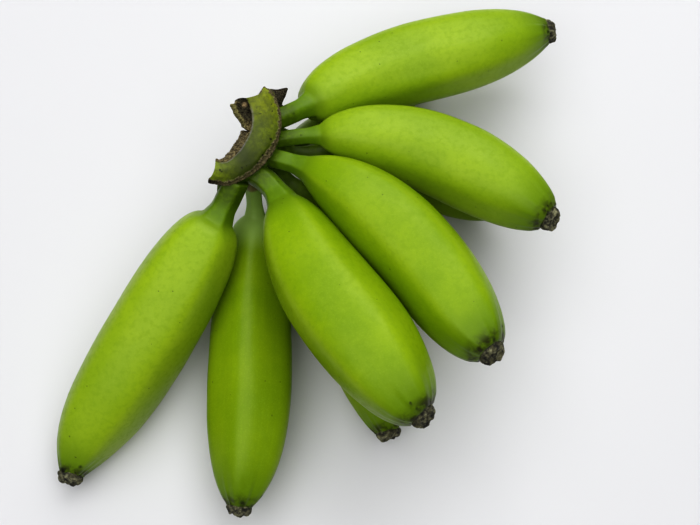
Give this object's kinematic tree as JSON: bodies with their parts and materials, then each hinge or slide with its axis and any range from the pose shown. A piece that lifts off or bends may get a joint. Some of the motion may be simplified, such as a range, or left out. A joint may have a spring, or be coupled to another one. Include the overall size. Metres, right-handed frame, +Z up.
{
  "type": "hand of green plantain bananas",
  "caption": "Cut hand of short, thick green plantain bananas in two rows on a curved crown of stalk, lying flat, with dried flower tips.",
  "frame": {"origin": "on the surface that the hand lies on, under the middle of its bounding box", "axes": "+Z up from that surface, the hand's flat direction; seen from above with +Y away, the crown is at upper left and the fruits fan out to the right and toward the viewer"},
  "size_m": [0.2378, 0.2392, 0.0869],
  "materials": {
    "crown_skin": "olive green stalk skin with a brown corky scar and a brown fibrous cut face, satin",
    "fruit_skin": "smooth waxy yellow-green peel, satin, with faint mottling and tiny dark specks",
    "dried_flower": "dry, rough, near-black corky tissue"
  },
  "bodies": {
    "root": {"crown": "crown_skin", "fruit_upper_1": "fruit_skin", "fruit_upper_2": "fruit_skin", "fruit_upper_3": "fruit_skin", "fruit_upper_4": "fruit_skin", "fruit_upper_5": "fruit_skin", "fruit_lower_1": "fruit_skin", "fruit_lower_2": "fruit_skin", "fruit_lower_3": "fruit_skin", "fruit_lower_4": "fruit_skin", "dried_flower_upper_1": "dried_flower", "dried_flower_upper_2": "dried_flower", "dried_flower_upper_3": "dried_flower", "dried_flower_upper_4": "dried_flower", "dried_flower_upper_5": "dried_flower", "dried_flower_lower_1": "dried_flower", "dried_flower_lower_2": "dried_flower", "dried_flower_lower_3": "dried_flower", "dried_flower_lower_4": "dried_flower"}
  },
  "joints": []
}
